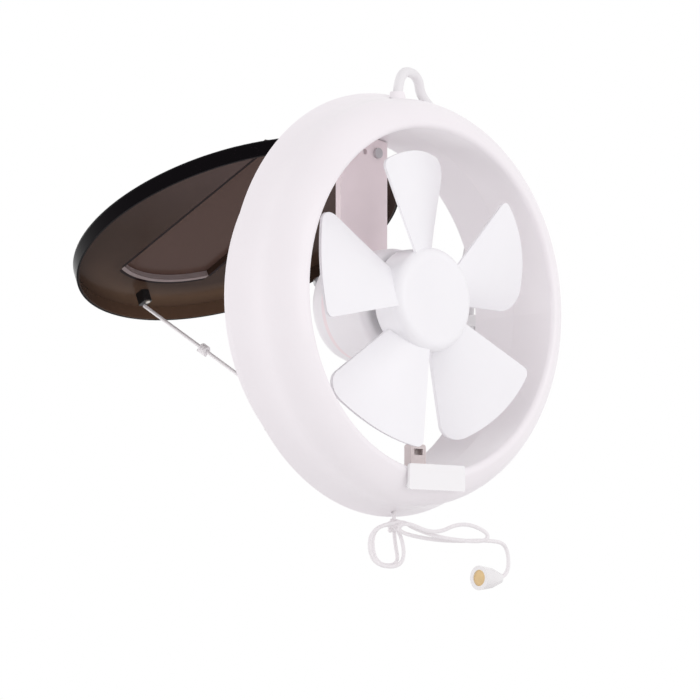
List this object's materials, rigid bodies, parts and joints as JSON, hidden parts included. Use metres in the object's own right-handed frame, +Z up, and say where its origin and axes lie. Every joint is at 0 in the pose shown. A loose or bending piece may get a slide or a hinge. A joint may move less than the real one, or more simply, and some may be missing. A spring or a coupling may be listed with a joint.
{
  "type": "exhaust fan",
  "caption": "Round glass-mounted exhaust fan: moulded ring and duct, motor on a top bracket, twisted-blade impeller, hinged smoked rear shutter worked by a pull cord.",
  "frame": {"origin": "centre of the pane, on the rear face of the seal", "axes": "+Y outdoors along the fan's axis, +Z up, +X right as seen from the room"},
  "size_m": [0.2929, 0.3311, 0.3549],
  "materials": {
    "white_plastic": "satin",
    "grey_foam": "matte",
    "steel": "satin",
    "painted_bracket": "satin",
    "motor_white": "satin",
    "copper": "satin",
    "lead_sheath": "satin",
    "cord_white": "matte",
    "badge_white": "gloss",
    "box_plastic": "satin",
    "fan_plastic": "satin",
    "smoked_plastic": "gloss",
    "black_plastic": "satin",
    "rivet": "satin",
    "knob_plastic": "gloss",
    "knob_cream": "satin"
  },
  "bodies": {
    "frame": {"front_ring": "white_plastic", "rear_frame": "white_plastic", "glass_seal": "grey_foam", "badge_plate": "badge_white", "shutter_hinge": "white_plastic", "hinge_pin": "steel", "torsion_spring": "steel", "motor_strut": "painted_bracket", "strut_screw_1": "steel", "strut_screw_2": "steel", "motor_shell": "motor_white", "motor_cover": "motor_white", "motor_screw_1": "steel", "motor_screw_2": "steel", "motor_screw_3": "steel", "stator_core": "steel", "stator_carrier": "motor_white", "stator_coil": "copper", "front_bearing": "steel", "rear_bearing": "steel", "cord_box": "box_plastic", "box_lid": "box_plastic", "cord_eyelet": "box_plastic", "lead_gland": "white_plastic", "mains_lead": "lead_sheath", "lead_tie": "lead_sheath", "shutter_cord": "cord_white", "pull_stub": "cord_white"},
    "rotor": {"impeller": "fan_plastic", "hub_clip": "steel", "motor_shaft": "steel", "rotor_core": "steel"},
    "shutter": {"shutter": "smoked_plastic", "cord_clip": "black_plastic", "clip_rivet": "rivet"},
    "pull": {"pull_cord": "cord_white", "pull_knot": "cord_white", "pull_knob": "knob_plastic", "knob_insert": "knob_cream"},
    "clamp_1": {"clamp_tab_1": "white_plastic", "clamp_screw_1": "steel"},
    "clamp_2": {"clamp_tab_2": "white_plastic", "clamp_screw_2": "steel"},
    "clamp_3": {"clamp_tab_3": "white_plastic", "clamp_screw_3": "steel"},
    "clamp_4": {"clamp_tab_4": "white_plastic", "clamp_screw_4": "steel"}
  },
  "joints": [
    {"name": "fan_spin", "type": "hinge", "parent": "frame", "child": "rotor", "pos_m": [0, 0, 0], "axis": [0, 1, 0], "continuous": true},
    {"name": "shutter_swing", "type": "hinge", "parent": "frame", "child": "shutter", "pos_m": [0, 0.044, 0.1223], "axis": [1, 0, 0], "range_deg": [-65, 0], "stiffness_Nm_per_rad": 0.35, "springref_deg": 68.75, "deforming": ["shutter_cord"]},
    {"name": "pull_travel", "type": "slide", "parent": "frame", "child": "pull", "axis": [0, 0, -1], "range_m": [0, 0.2331], "deforming": ["pull_stub"]},
    {"name": "clamp_swing_1", "type": "hinge", "parent": "frame", "child": "clamp_1", "pos_m": [0.08669, 0.011, 0.08669], "axis": [0, 1, 0], "range_deg": [0, 90]},
    {"name": "clamp_swing_2", "type": "hinge", "parent": "frame", "child": "clamp_2", "pos_m": [-0.08669, 0.011, 0.08669], "axis": [0, 1, 0], "range_deg": [0, 90]},
    {"name": "clamp_swing_3", "type": "hinge", "parent": "frame", "child": "clamp_3", "pos_m": [-0.08669, 0.011, -0.08669], "axis": [0, 1, 0], "range_deg": [0, 90]},
    {"name": "clamp_swing_4", "type": "hinge", "parent": "frame", "child": "clamp_4", "pos_m": [0.08669, 0.011, -0.08669], "axis": [0, 1, 0], "range_deg": [0, 90]}
  ],
  "couplings": [
    {"joint": "pull_travel", "follows": "shutter_swing", "m_per_rad": -0.20474}
  ]
}
